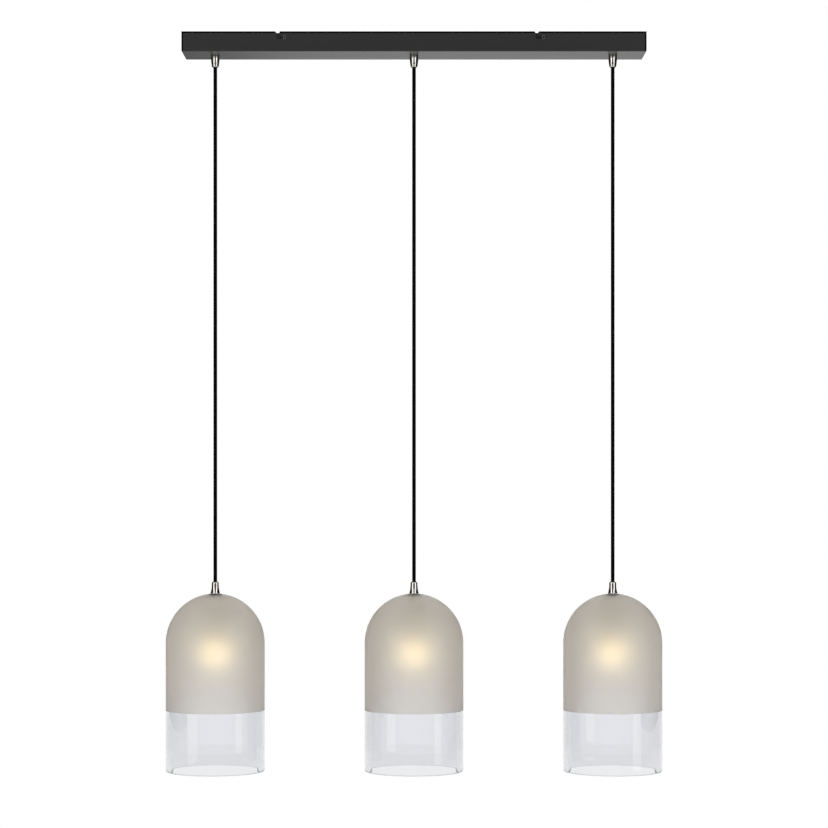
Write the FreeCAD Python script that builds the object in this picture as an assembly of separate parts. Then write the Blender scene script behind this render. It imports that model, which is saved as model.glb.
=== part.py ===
import FreeCAD, Part
import math
import os

from FreeCAD import Vector

# A linear island pendant: a black sheet-steel canopy bar under the ceiling, and three glass shades
# that hang from it on round black cords. Millimetres. X runs along the bar, -Y is the front and
# +Z is up. The origin lies on the ceiling plane, in the middle of the four ceiling screws.

# canopy bar, a folded box that is open towards the ceiling
canopy_length = 700.0
canopy_depth = 80.0
canopy_height = 30.0
canopy_wall = 1.0
fold_radius = 1.6            # outside radius of each folded edge
stem_hole_radius = 5.2

# hook-in slots of the canopy, and the screws and brackets that they hang on
bracket_x = 195.0            # each bracket's distance from the middle
bracket_web_width = 15.0
bracket_ear_width = 25.0
bracket_shoulder = 2.4       # the ears' shoulders, below the ceiling
bracket_thickness = 2.0
bracket_ear_depth = 18.0
side_screw_drop = 9.2        # the side screws' axis below the ceiling
side_screw_radius = 1.95
side_screw_head_radius = 3.5
side_screw_head_height = 2.2
side_screw_length = 8.0
hook_slot_width = 4.4
hook_slot_run = 9.8
hook_lead_in = 2.0           # how far the slot's mouth widens on the side away from the screw
hook_lead_in_near = 1.0      # and on the screw's side
hook_lead_in_drop = 2.3
ceiling_slot_width = 4.5
ceiling_slot_length = 8.0
ceiling_slot_y = 20.0

# pendants
pendant_pitch = 302.0
pendants = {"left": -pendant_pitch, "centre": 0.0, "right": pendant_pitch}

# cord and its two conical grips
cord_radius = 2.8
cord_exit_z = -48.7          # where the free cord leaves the upper grip
cord_bend_run = 36.0         # the cord bends forwards over this run, and sideways over the next
cord_end_z = -868.0          # the cord's end inside the lampholder
upper_grip_height = 17.7
lower_grip_top_z = -830.3
lower_grip_height = 17.1
collet_lip = 1.0
collet_radius = 3.9
collet_length = 10.0
collet_squeeze = 0.05        # a tightened collet presses this far into the cord
grip_collet_depth = 8.6      # how deep the collet sits in its grip's foot or top
stem_radius = 4.95           # M10x1 hollow stem
stem_bore_radius = 3.5
stem_chamfer = 0.4
stem_in_upper_grip = 7.0
stem_in_lower_grip = 8.0
thread_clearance = 0.1
washer_thickness = 0.8
washer_radius = 8.4
washer_teeth = 12

# glass shade: a dome and a straight skirt, open at the bottom
shade_radius = 75.0
shade_wall = 3.0
shade_land_radius = 9.0      # flat seat that is ground on top of the dome
shade_inner_land_radius = 12.0
shade_hole_radius = 5.3
shade_rim_z = -1117.0
seal_top_thickness = 0.8
seal_under_thickness = 1.0
shade_nut_flange_radius = 11.0
shade_nut_flange = 1.5
nut_height = 3.0
nut_flats = 14.0

# lampholder and lamp, E27 with a 45 mm globe
holder_cap_radius = 19.5
holder_cap_height = 22.0
holder_wall = 1.6
holder_seam = 0.2
holder_skirt_radius = 18.2
holder_skirt_bore = 14.6
holder_mouth_z = -911.0
lamp_globe_radius = 22.5
lamp_globe_z = -938.0
lamp_wall = 0.8
lamp_neck_z = -911.2
lamp_thread_radius = 13.1
lamp_thread_pitch = 3.63
lamp_thread_turns = 5
lamp_contact_z = -884.5

# wiring inside the canopy
terminal_x = 120.0
terminal_length = 30.0
terminal_half_depth = 10.0
terminal_base = 9.0          # the block's low part, round its six screw towers
terminal_height = 14.0
tower_radius = 3.9
pole_pitch = 9.0
pole_z = -24.5
pole_screw_y = 5.0
pole_bore = 2.6
clamp_radius = 2.5
clamp_bore = 1.7
clamp_half_length = 8.0
clamp_screw_radius = 1.4
lead_radius = 0.95
pad_length = 28.0
pad_depth = 18.0
pad_thickness = 1.0
earth_stud_x = 158.0
earth_stud_y = 14.0
earth_stud_radius = 1.95
earth_stud_height = 10.0
earth_nut_height = 3.2
earth_nut_flats = 7.0
earth_tag_thickness = 0.8
earth_barrel_radius = 1.6
earth_barrel_length = 6.0

upper_grip_top_z = -canopy_height
upper_grip_bottom_z = upper_grip_top_z - upper_grip_height
floor_z = -canopy_height + canopy_wall
lower_grip_bottom_z = lower_grip_top_z - lower_grip_height
shade_land_z = lower_grip_bottom_z - seal_top_thickness
dome_centre_z = shade_land_z - math.sqrt(shade_radius ** 2 - shade_land_radius ** 2)
bore_radius = shade_radius - shade_wall
shade_inner_land_z = dome_centre_z + math.sqrt(bore_radius ** 2 - shade_inner_land_radius ** 2)
seal_under_z = shade_inner_land_z - seal_under_thickness
holder_top_z = seal_under_z - shade_nut_flange - nut_height
cord_bend_end_z = cord_exit_z - 2 * cord_bend_run
washer_top_z = floor_z + washer_thickness
poles = {"live": terminal_x - pole_pitch, "earth": terminal_x, "neutral": terminal_x + pole_pitch}


def outline(points, place):
    """A closed wire through points. An entry of two points is an arc through the first to the second."""
    edges = []
    here = place(points[0])
    for entry in points[1:] + [points[0]]:
        if isinstance(entry[0], tuple):
            end = place(entry[1])
            edges.append(Part.Arc(here, place(entry[0]), end).toShape())
        else:
            end = place(entry)
            edges.append(Part.makeLine(here, end))
        here = end
    return Part.Wire(edges)


def turned(points, x=0.0):
    """A solid turned about the vertical line at x, from an outline of (radius, z) points."""
    wire = outline(points, lambda p: Vector(x + p[0], 0, p[1]))
    return Part.Face(wire).revolve(Vector(x, 0, 0), Vector(0, 0, 1), 360)


def ring(x, inner, outer, low, high):
    """A flat ring about the vertical line at x."""
    return turned([(inner, low), (outer, low), (outer, high), (inner, high)], x)


def on_circle(centre_z, radius, r):
    """The (radius, z) point at r from the axis, above the centre, on a circle of the dome's section."""
    return (r, centre_z + math.sqrt(radius ** 2 - r ** 2))


def hexagon(x, y, low, height, flats, bore):
    """A hexagon nut with a plain bore."""
    corner = flats / math.sqrt(3)
    points = [Vector(x + corner * math.cos(math.radians(a)), y + corner * math.sin(math.radians(a)), low)
              for a in range(0, 420, 60)]
    blank = Part.Face(Part.makePolygon(points)).extrude(Vector(0, 0, height))
    return blank.cut(Part.makeCylinder(bore, height, Vector(x, y, low)))


def rounded_path(corners):
    """Straight runs joined by tangent arcs. An arc takes 0.45 of the shorter run beside its corner."""
    points = [Vector(*c) for c in corners]
    edges, radii, here = [], [], points[0]
    for before, corner, after in zip(points, points[1:], points[2:]):
        back, ahead = before - corner, after - corner
        setback = 0.45 * min(back.Length, ahead.Length)
        back.normalize()
        ahead.normalize()
        half_turn = (math.pi - back.getAngle(ahead)) / 2
        radius = setback / math.tan(half_turn)
        inward = back + ahead
        inward.normalize()
        middle = corner + inward * (radius / math.cos(half_turn) - radius)
        start, end = corner + back * setback, corner + ahead * setback
        edges += [Part.makeLine(here, start), Part.Arc(start, middle, end).toShape()]
        radii.append(radius)
        here = end
    edges.append(Part.makeLine(here, points[-1]))
    return Part.Wire(edges), radii


def tube(name, corners, radius):
    """A round solid along a route. Prints its radii, and its volume against section times length."""
    path, radii = rounded_path(corners)
    heading = Vector(*corners[1]) - Vector(*corners[0])
    section = Part.Wire([Part.makeCircle(radius, Vector(*corners[0]), heading)])
    solid = path.makePipeShell([section], True, False)
    expected = math.pi * radius ** 2 * path.Length
    print(f"{name}: length {path.Length:.1f}, radii {[round(r, 1) for r in radii]}, "
          f"volume ratio {solid.Volume / expected:.4f}")
    return solid


def slot_cutter(length, width, height, centre):
    """A round-ended slot along X, cut straight down from centre."""
    radius, half_run = width / 2, (length - width) / 2
    cutter = Part.makeBox(2 * half_run, width, height, centre + Vector(-half_run, -radius, -height))
    for side in (-1, 1):
        end = centre + Vector(side * half_run, 0, -height)
        cutter = cutter.fuse(Part.makeCylinder(radius, height, end))
    return cutter


def hook_slot(screw_x, side):
    """The L-shaped slot beside one side screw: down from a widened mouth, then along to the screw."""
    half, depth = hook_slot_width / 2, 3 * canopy_wall
    y = side * (canopy_depth / 2 - canopy_wall / 2)
    entry_x = screw_x - hook_slot_run
    mouth = [(-half - hook_lead_in, 0), (-half, -hook_lead_in_drop), (half, -hook_lead_in_drop),
             (half + hook_lead_in_near, 0), (half + hook_lead_in_near, 1), (-half - hook_lead_in, 1)]
    wire = outline(mouth, lambda p: Vector(entry_x + p[0], y - depth / 2, p[1]))
    lead_in = Part.Face(wire).extrude(Vector(0, depth, 0))
    fall = Part.makeBox(hook_slot_width, depth, side_screw_drop + 1,
                        Vector(entry_x - half, y - depth / 2, -side_screw_drop))
    run = Part.makeBox(hook_slot_run, depth, hook_slot_width,
                       Vector(entry_x, y - depth / 2, -side_screw_drop - half))
    cutter = fall.fuse(run).fuse(lead_in)
    for x in (entry_x, screw_x):
        cutter = cutter.fuse(Part.makeCylinder(half, depth, Vector(x, y - depth / 2, -side_screw_drop),
                                               Vector(0, 1, 0)))
    return cutter


def folded_box(length, depth, low, radius):
    """A box as high as the canopy, standing at low, with all its edges rounded but the top ones."""
    box = Part.makeBox(length, depth, canopy_height, Vector(-length / 2, -depth / 2, low))
    folds = [e for e in box.Edges if e.BoundBox.ZMin < low + canopy_height / 2]
    return box.makeFillet(radius, folds)


def canopy():
    """The canopy bar: a folded sheet-metal box with its hook-in slots and the holes for the stems."""
    outside = folded_box(canopy_length, canopy_depth, -canopy_height, fold_radius)
    inside = folded_box(canopy_length - 2 * canopy_wall, canopy_depth - 2 * canopy_wall, floor_z,
                        fold_radius - canopy_wall)
    shell = outside.cut(inside)
    for x in (-bracket_x, bracket_x):
        for side in (-1, 1):
            shell = shell.cut(hook_slot(x, side))
    for x in pendants.values():
        shell = shell.cut(Part.makeCylinder(stem_hole_radius, 4 * canopy_wall,
                                            Vector(x, 0, -canopy_height - canopy_wall)))
    return shell


def bracket(x):
    """A U-shaped cross-bracket. Its web lies on the ceiling, and its wider ears hold the side screws."""
    outer, wall = canopy_depth / 2 - canopy_wall, bracket_thickness
    inner, bend = outer - wall, wall + 0.5
    profile = [
        (-outer, -bracket_ear_depth), (-outer, -bend),
        ((-outer + bend * (1 - math.sqrt(0.5)), -bend * (1 - math.sqrt(0.5))), (-outer + bend, 0)),
        (outer - bend, 0),
        ((outer - bend * (1 - math.sqrt(0.5)), -bend * (1 - math.sqrt(0.5))), (outer, -bend)),
        (outer, -bracket_ear_depth), (inner, -bracket_ear_depth), (inner, -wall),
        (-inner, -wall), (-inner, -bracket_ear_depth),
    ]
    wire = outline(profile, lambda p: Vector(x - bracket_ear_width / 2, p[0], p[1]))
    shape = Part.Face(wire).extrude(Vector(bracket_ear_width, 0, 0))
    for start_x in (x - bracket_web_width / 2 - bracket_ear_width, x + bracket_web_width / 2):
        shape = shape.cut(Part.makeBox(bracket_ear_width, canopy_depth, 2 * bracket_shoulder,
                                       Vector(start_x, -canopy_depth / 2, -bracket_shoulder)))
    for y in (-ceiling_slot_y, ceiling_slot_y):
        start = Vector(x, y, wall / 2)
        shape = shape.cut(slot_cutter(ceiling_slot_length, ceiling_slot_width, 2 * wall, start))
    tapped = Part.makeCylinder(side_screw_radius + 0.05, canopy_depth,
                               Vector(x, -canopy_depth / 2, -side_screw_drop), Vector(0, 1, 0))
    return shape.cut(tapped)


def side_screw(x, side):
    """A pan-head screw with a cross recess, through the canopy's wall into a bracket's ear."""
    head, shank, edge = side_screw_head_height, side_screw_radius, side_screw_head_radius
    recess_length, recess_width, recess_depth, left_at = 3.6, 0.8, 1.2, 32
    profile = [(0, -side_screw_length), (shank, -side_screw_length), (shank, 0), (edge, 0),
               (edge, 0.35 * head), ((0.72 * edge, 0.86 * head), (0.3 * edge, head)), (0, head)]
    screw = turned(profile)
    for angle in (0, 90):
        corner = Vector(-recess_length / 2, -recess_width / 2, head - recess_depth)
        bar = Part.makeBox(recess_length, recess_width, 2 * recess_depth, corner)
        bar.rotate(Vector(0, 0, 0), Vector(0, 0, 1), angle + left_at)
        screw = screw.cut(bar)
    screw.rotate(Vector(0, 0, 0), Vector(1, 0, 0), 90 if side < 0 else -90)
    screw.translate(Vector(x, side * canopy_depth / 2, -side_screw_drop))
    return screw


def upper_grip(x):
    """The conical cord grip under the canopy: widest near its top, with a chamfered foot."""
    top, foot = upper_grip_top_z, upper_grip_bottom_z
    stem_bore = stem_radius + thread_clearance
    collet_bore = collet_radius + thread_clearance
    return turned([
        (stem_bore, top), (6.1, top), (6.6, top - 0.8), ((6.45, top - 6.5), (6.05, top - 11.0)),
        (5.25, foot + 0.9), (4.7, foot), (collet_bore, foot),
        (collet_bore, foot + grip_collet_depth), (stem_bore, foot + grip_collet_depth),
    ], x)


def lower_grip(x):
    """The conical cord grip on the shade, flared towards its foot."""
    top, foot = lower_grip_top_z, lower_grip_bottom_z
    stem_bore = stem_radius + thread_clearance
    collet_bore = collet_radius + thread_clearance
    return turned([
        (collet_bore, top), (4.6, top), ((5.05, top - 0.35), (5.3, top - 1.2)),
        ((5.75, top - 10.0), (7.05, foot + 0.5)), (6.9, foot), (stem_bore, foot),
        (stem_bore, top - grip_collet_depth), (collet_bore, top - grip_collet_depth),
    ], x)


def collet(x, lip_z, direction):
    """A plastic clamping collet, tight round the cord. Its lip shows past the grip."""
    outer, inner, root_z = collet_radius, cord_radius - collet_squeeze, lip_z - direction * collet_length
    chamfer = collet_lip / 2
    return turned([(inner, lip_z), (outer - chamfer, lip_z), (outer, lip_z - direction * chamfer),
                   (outer, root_z), (inner, root_z)], x)


def stem(x, low, high):
    """An M10x1 hollow stem, with the outside of its thread as a plain cylinder."""
    outer, slim = stem_radius, stem_radius - stem_chamfer
    return turned([(stem_bore_radius, low), (slim, low), (outer, low + stem_chamfer),
                   (outer, high - stem_chamfer), (slim, high), (stem_bore_radius, high)], x)


def toothed_washer(x):
    """A lock washer with teeth round its edge."""
    washer = ring(x, stem_radius + 2 * thread_clearance, washer_radius, floor_z, washer_top_z)
    gap_depth, gap_width = 1.2, 1.4
    corner = Vector(washer_radius - gap_depth, -gap_width / 2, floor_z - washer_thickness / 2)
    for tooth in range(washer_teeth):
        notch = Part.makeBox(2 * gap_depth, gap_width, 2 * washer_thickness, corner)
        notch.rotate(Vector(0, 0, 0), Vector(0, 0, 1), tooth * 360 / washer_teeth)
        washer = washer.cut(notch.translated(Vector(x, 0, 0)))
    return washer


def upper_nut(x):
    return hexagon(x, 0, washer_top_z, nut_height, nut_flats, stem_radius + thread_clearance)


def shade(x):
    """The glass: a dome with a flat ground seat and a hole, a straight skirt and a rounded rim."""
    diagonal = math.sqrt(0.5)
    outer, inner, rim = shade_radius, bore_radius, shade_wall / 2
    land = (shade_land_radius, shade_land_z)
    inner_land = (shade_inner_land_radius, shade_inner_land_z)
    return turned([
        (shade_hole_radius, shade_inner_land_z), (shade_hole_radius, shade_land_z), land,
        (on_circle(dome_centre_z, outer, outer * diagonal), (outer, dome_centre_z)),
        (outer, shade_rim_z + rim),
        ((outer - rim, shade_rim_z), (inner, shade_rim_z + rim)),
        (inner, dome_centre_z),
        (on_circle(dome_centre_z, inner, inner * diagonal), inner_land),
    ], x)


def shade_seals(x):
    """The silicone washers above and below the glass."""
    over = ring(x, stem_radius + 0.3, 7.4, shade_land_z, lower_grip_bottom_z)
    under = ring(x, stem_radius + 0.3, shade_nut_flange_radius, seal_under_z, shade_inner_land_z)
    return Part.makeCompound([over, under])


def shade_nut(x):
    """The flanged nut that clamps the glass from inside."""
    bore = stem_radius + thread_clearance
    flange = ring(x, bore, shade_nut_flange_radius, seal_under_z - shade_nut_flange, seal_under_z)
    return flange.fuse(hexagon(x, 0, holder_top_z, nut_height, nut_flats, bore)).removeSplitter()


def holder_cap(x):
    """The lampholder's domed cap, threaded onto the stem."""
    top, outer = holder_top_z, holder_cap_radius
    inner, bore = outer - holder_wall, stem_radius + thread_clearance
    return turned([
        (bore, top), (9.5, top), ((15.2, top - 3.0), (outer, top - 10.5)), (outer, top - holder_cap_height),
        (inner, top - holder_cap_height), (inner, top - 11.0), ((14.1, top - 4.9), (8.5, top - 2.4)),
        (8.5, top - 5.5), (bore, top - 5.5),
    ], x)


def holder_body(x):
    """The lampholder's lower half: a spigot inside the cap, a floor, and the skirt round the lamp's cap."""
    seam = holder_top_z - holder_cap_height - holder_seam
    spigot = holder_cap_radius - holder_wall - holder_seam
    spigot_inner, spigot_height = 15.6, 5.5
    floor_top, floor_low, contact_hole = lamp_contact_z + 3.0, lamp_contact_z + 1.4, 2.2
    skirt, bore, mouth = holder_skirt_radius, holder_skirt_bore, holder_mouth_z
    return turned([
        (contact_hole, floor_top), (spigot_inner, floor_top), (spigot_inner, seam + spigot_height),
        (spigot, seam + spigot_height), (spigot, seam),
        (holder_cap_radius, seam), (holder_cap_radius, seam - 1.4), (skirt + 0.6, seam - 2.2),
        (skirt, mouth + 1.4), ((skirt - 0.4, mouth + 0.4), (skirt - 1.4, mouth)), (bore, mouth),
        (bore, floor_low), (contact_hole, floor_low),
    ], x)


def wave(radius, depth, low, pitch, turns):
    """The (radius, z) points of a row of rounded thread rings, from low upwards, as arcs."""
    points = [(radius - depth, low)]
    for turn in range(turns):
        z = low + turn * pitch
        points.append(((radius, z + pitch / 2), (radius - depth, z + pitch)))
    return points


def holder_contacts(x):
    """The lampholder's screw shell and its centre contact."""
    shell_low, shell_high = holder_mouth_z + 3.0, holder_mouth_z + 23.0
    shell = ring(x, lamp_thread_radius + 0.4, 14.3, shell_low, shell_high)
    tongue = ring(x, 0.8, 1.9, lamp_contact_z + 1.3, lamp_contact_z + 6.0)
    button = Part.makeCylinder(3.2, 1.0, Vector(x, 0, lamp_contact_z + 0.3))
    return Part.makeCompound([shell, tongue.fuse(button).removeSplitter()])


def lamp_cap(x):
    """The lamp's screw cap with its black insulator and its centre contact."""
    low, thread_depth = lamp_neck_z + 0.4, 0.8
    thread_low = low + 2.0
    thread_high = thread_low + lamp_thread_pitch * lamp_thread_turns
    inner, edge, top_edge = 11.9, 12.9, 9.6
    shell_top, contact_low = thread_high + 1.9, lamp_contact_z - 0.9
    threads = wave(lamp_thread_radius, thread_depth, thread_low, lamp_thread_pitch, lamp_thread_turns)
    shell = turned([(inner, low), (edge, low), (edge, low + 1.2)] + threads
                   + [(top_edge, shell_top), (top_edge - 0.6, shell_top), (inner, thread_high - 0.2)], x)
    insulator = turned([(0, shell_top - 0.9), (top_edge - 0.7, shell_top - 0.9), (top_edge - 0.7, shell_top),
                        (5.2, contact_low), (0, contact_low)], x)
    contact = turned([(0, contact_low), (4.6, contact_low), (4.2, lamp_contact_z - 0.4),
                      (2.8, lamp_contact_z), (0, lamp_contact_z)], x)
    return Part.makeCompound([shell, insulator, contact])


def lamp_globe(x):
    """The lamp's opal glass: a ball and a neck that is cemented into the cap."""
    centre, outer, inner = lamp_globe_z, lamp_globe_radius, lamp_globe_radius - lamp_wall
    throat, neck = 16.0, 11.5
    top = lamp_neck_z + 8.0
    outer_throat = on_circle(centre, outer, throat)
    inner_throat = on_circle(centre, inner, throat - lamp_wall)
    return turned([
        (0, centre - outer), ((outer * math.sqrt(0.5), centre - outer * math.sqrt(0.5)), (outer, centre)),
        (on_circle(centre, outer, 20.0), outer_throat),
        ((13.8, lamp_neck_z - 6.0), (12.9, lamp_neck_z)), (neck, lamp_neck_z), (neck, top),
        (neck - lamp_wall, top), (neck - lamp_wall, lamp_neck_z - 0.8), (12.1, lamp_neck_z - 0.8),
        ((13.0, lamp_neck_z - 6.2), inner_throat),
        (on_circle(centre, inner, 19.4), (inner, centre)),
        ((inner * math.sqrt(0.5), centre - inner * math.sqrt(0.5)), (0, centre - inner)),
    ], x)


def terminal_pad():
    """The foam pad under the terminal block."""
    corner = Vector(terminal_x - pad_length / 2, -pad_depth / 2, floor_z)
    return Part.makeBox(pad_length, pad_depth, pad_thickness, corner)


def terminal_block():
    """A three-pole terminal block: a low base, two screw towers a pole, and two fixing holes."""
    low, half, tower_wall, fixing_radius = floor_z + pad_thickness, terminal_half_depth, 2.0, 1.6
    corner = Vector(terminal_x - terminal_length / 2, -half, low)
    body = Part.makeBox(terminal_length, 2 * half, terminal_base, corner)
    towers = [(x, y) for x in poles.values() for y in (-pole_screw_y, pole_screw_y)]
    for x, y in towers:
        body = body.fuse(Part.makeCylinder(tower_radius, terminal_height, Vector(x, y, low)))
    for x in poles.values():
        start = Vector(x, -1.5 * half, pole_z)
        body = body.cut(Part.makeCylinder(pole_bore, 3 * half, start, Vector(0, 1, 0)))
    for x, y in towers:
        body = body.cut(Part.makeCylinder(tower_radius - tower_wall, terminal_height, Vector(x, y, pole_z)))
    for x in (terminal_x - pole_pitch / 2, terminal_x + pole_pitch / 2):
        body = body.cut(Part.makeCylinder(fixing_radius, 2 * terminal_base, Vector(x, 0, low - 1)))
    return body.removeSplitter()


def terminal_clamp(x):
    """A brass tube clamp with two tapped holes."""
    start, length = Vector(x, -clamp_half_length, pole_z), 2 * clamp_half_length
    clamp = Part.makeCylinder(clamp_radius, length, start, Vector(0, 1, 0))
    clamp = clamp.cut(Part.makeCylinder(clamp_bore, length, start, Vector(0, 1, 0)))
    for y in (-pole_screw_y, pole_screw_y):
        hole = Part.makeCylinder(clamp_screw_radius + 0.05, 2 * clamp_radius, Vector(x, y, pole_z))
        clamp = clamp.cut(hole)
    return clamp


def terminal_screw(x, y):
    """A slotted clamp screw, down in its tower."""
    low, shank, head, slot, slot_depth = pole_z + clamp_bore + 0.05, 5.0, 2.2, 0.6, 0.8
    screw = Part.makeCylinder(clamp_screw_radius, shank, Vector(x, y, low))
    screw = screw.fuse(Part.makeCylinder(tower_radius - 2.15, head, Vector(x, y, low + shank)))
    corner = Vector(x - tower_radius / 2, y - slot / 2, low + shank + head - slot_depth)
    groove = Part.makeBox(tower_radius, slot, head, corner)
    return screw.cut(groove).removeSplitter()


def earth_stud():
    foot = Vector(earth_stud_x, earth_stud_y, floor_z)
    return Part.makeCylinder(earth_stud_radius, earth_stud_height, foot)


def earth_nut():
    low, bore = floor_z + earth_tag_thickness, earth_stud_radius + 0.05
    return hexagon(earth_stud_x, earth_stud_y, low, earth_nut_height, earth_nut_flats, bore)


def earth_tag():
    """A ring terminal on the earth stud, with a crimped barrel that holds the canopy's earth lead."""
    low, x, y, thick = floor_z, earth_stud_x, earth_stud_y, earth_tag_thickness
    neck_length, neck_width = 9.0, 4.0
    tongue = Part.makeCylinder(4.2, thick, Vector(x, y, low))
    corner = Vector(x - neck_length, y - neck_width / 2, low)
    tongue = tongue.fuse(Part.makeBox(neck_length, neck_width, thick, corner))
    tongue = tongue.cut(Part.makeCylinder(earth_stud_radius + 0.1, 3 * thick, Vector(x, y, low - thick)))
    start, along = Vector(x - neck_length - 4, y, low + earth_barrel_radius), Vector(1, 0, 0)
    barrel = Part.makeCylinder(earth_barrel_radius, earth_barrel_length, start, along)
    barrel = barrel.cut(Part.makeCylinder(lead_radius + 0.05, earth_barrel_length, start, along))
    return tongue.fuse(barrel).removeSplitter()


# the side that each tail heads to, and its route from the pendant's axis, as (along, y, z)
tail_heading = {"left": 1, "centre": 1, "right": -1}
tail_route = [(0, 0, cord_exit_z), (0, 0, -8), (27, -4, -8), (52, -14, -16)]


def cord_tail(name):
    """The sheathed cord from the upper grip's lip up through the stem, over and along the canopy."""
    route = [(pendants[name] + along * tail_heading[name], y, z) for along, y, z in tail_route]
    return tube(f"cord tail {name}", route, cord_radius)


# where the leads reach a pole, beside and above its axis, and their lanes along the canopy's floor
lead_offset = {"left": (-1.15, -1.0), "centre": (1.15, -1.0), "right": (0.0, 1.1)}
lead_lanes = {
    "left": {"live": -17.5, "earth": -22.5, "neutral": -27.5},
    "centre": {"live": -20.0, "earth": -25.0, "neutral": -30.0},
    "right": {"live": -30.0, "earth": -25.0, "neutral": -20.0},
}
lead_spread = {"live": (-1.3, 0.5), "earth": (0.0, -1.2), "neutral": (1.3, 0.5)}


def lead(conductor, name):
    """One insulated conductor from a cord tail's end, along its lane on the canopy's floor, to its pole."""
    x, heading = pendants[name], tail_heading[name]
    beside, above = lead_offset[name]
    pole_x, lane, z = poles[conductor] + beside, lead_lanes[name][conductor], pole_z + above
    sideways, lift = lead_spread[conductor]
    before, end = [Vector(x + along * heading, y, height) for along, y, height in tail_route[-2:]]
    ahead = (end - before).normalize()
    beside_tail = ahead.cross(Vector(0, 0, 1)).normalize()
    over_tail = beside_tail.cross(ahead)
    start = end + beside_tail * sideways + over_tail * lift
    route = [start, start + ahead * 8]
    if name == "centre":
        route += [(x + 74 * heading, lane, -21.0), (x + 88 * heading, lane, z)]
    else:
        route += [(x + 82 * heading, lane, z)]
    route += [(pole_x, lane, z), (pole_x, -terminal_half_depth + 1.5, z)]
    return tube(f"{conductor} lead {name}", route, lead_radius)


def canopy_earth_lead():
    """The lead from the earth pole's free side to the ring terminal."""
    barrel_end = earth_stud_x - 12
    z = floor_z + earth_barrel_radius
    start = poles["earth"]
    route = [(start, terminal_half_depth - 1.5, pole_z), (start, 19, pole_z), (start + 8, 24, pole_z),
             (start + 18, 22, z), (barrel_end - 5, earth_stud_y, z), (barrel_end, earth_stud_y, z)]
    return tube("canopy earth lead", route, lead_radius)


def straight_cord(x, top, foot):
    return Part.makeCylinder(cord_radius, top - foot, Vector(x, 0, foot))


def group(make, positions):
    return Part.makeCompound([make(p) for p in positions])


places = list(pendants.values())
stem_top_z = washer_top_z + nut_height + 3.0

nodes = {
    "canopy": canopy(),
    "bracket_left": bracket(-bracket_x),
    "bracket_right": bracket(bracket_x),
    "side_screws": Part.makeCompound([side_screw(x, s) for x in (-bracket_x, bracket_x) for s in (-1, 1)]),
    "upper_grips": group(upper_grip, places),
    "upper_collets": group(lambda x: collet(x, cord_exit_z, -1), places),
    "upper_stems": group(lambda x: stem(x, upper_grip_top_z - stem_in_upper_grip, stem_top_z), places),
    "upper_washers": group(toothed_washer, places),
    "upper_nuts": group(upper_nut, places),
    "cord_tails": group(cord_tail, pendants),
    "terminal_pad": terminal_pad(),
    "terminal_block": terminal_block(),
    "terminal_clamps": group(terminal_clamp, poles.values()),
    "terminal_screws": Part.makeCompound([terminal_screw(x, y) for x in poles.values()
                                          for y in (-pole_screw_y, pole_screw_y)]),
    "live_leads": Part.makeCompound([lead("live", n) for n in pendants]),
    "neutral_leads": Part.makeCompound([lead("neutral", n) for n in pendants]),
    "earth_leads": Part.makeCompound([lead("earth", n) for n in pendants] + [canopy_earth_lead()]),
    "earth_stud": earth_stud(),
    "earth_tag": earth_tag(),
    "earth_nut": earth_nut(),
}

for name, x in pendants.items():
    nodes.update({
        f"cord_bend_{name}": straight_cord(x, cord_exit_z, cord_bend_end_z),
        f"cord_{name}": straight_cord(x, cord_bend_end_z, cord_end_z),
        f"lower_collet_{name}": collet(x, lower_grip_top_z + collet_lip, 1),
        f"lower_grip_{name}": lower_grip(x),
        f"lower_stem_{name}": stem(x, holder_top_z - 6.5, lower_grip_bottom_z + stem_in_lower_grip),
        f"shade_seals_{name}": shade_seals(x),
        f"shade_nut_{name}": shade_nut(x),
        f"shade_{name}": shade(x),
        f"holder_cap_{name}": holder_cap(x),
        f"holder_body_{name}": holder_body(x),
        f"holder_contacts_{name}": holder_contacts(x),
        f"lamp_cap_{name}": lamp_cap(x),
        f"lamp_globe_{name}": lamp_globe(x),
    })

free_length = cord_exit_z - (lower_grip_top_z + collet_lip)
print(f"free cord of each pendant: {free_length:.1f} mm long, {2 * cord_radius:.1f} mm across, straight")

os.makedirs("parts", exist_ok=True)
for node, shape in nodes.items():
    if not shape.isValid():
        print("not valid:", node)
    shape.exportStep(f"parts/{node}.step")
print(len(nodes), "nodes written")
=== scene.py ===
import math

import bpy
import numpy as np
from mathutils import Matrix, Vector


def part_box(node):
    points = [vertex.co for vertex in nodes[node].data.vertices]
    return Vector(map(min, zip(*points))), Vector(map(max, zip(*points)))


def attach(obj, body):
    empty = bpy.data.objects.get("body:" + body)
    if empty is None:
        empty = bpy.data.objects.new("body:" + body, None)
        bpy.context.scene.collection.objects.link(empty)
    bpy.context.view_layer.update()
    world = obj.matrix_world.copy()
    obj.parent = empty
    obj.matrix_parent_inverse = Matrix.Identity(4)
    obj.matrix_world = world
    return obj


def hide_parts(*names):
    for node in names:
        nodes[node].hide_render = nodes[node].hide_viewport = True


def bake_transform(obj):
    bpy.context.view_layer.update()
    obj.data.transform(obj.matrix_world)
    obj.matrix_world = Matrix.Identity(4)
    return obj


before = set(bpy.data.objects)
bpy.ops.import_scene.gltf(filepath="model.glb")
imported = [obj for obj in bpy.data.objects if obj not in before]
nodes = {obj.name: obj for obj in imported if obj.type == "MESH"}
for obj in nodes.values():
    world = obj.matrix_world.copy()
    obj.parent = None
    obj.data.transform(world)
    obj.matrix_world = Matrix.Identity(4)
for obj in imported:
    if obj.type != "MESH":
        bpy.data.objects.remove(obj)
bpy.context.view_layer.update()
scene = bpy.context.scene
scene.view_settings.view_transform = "Standard"

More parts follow.
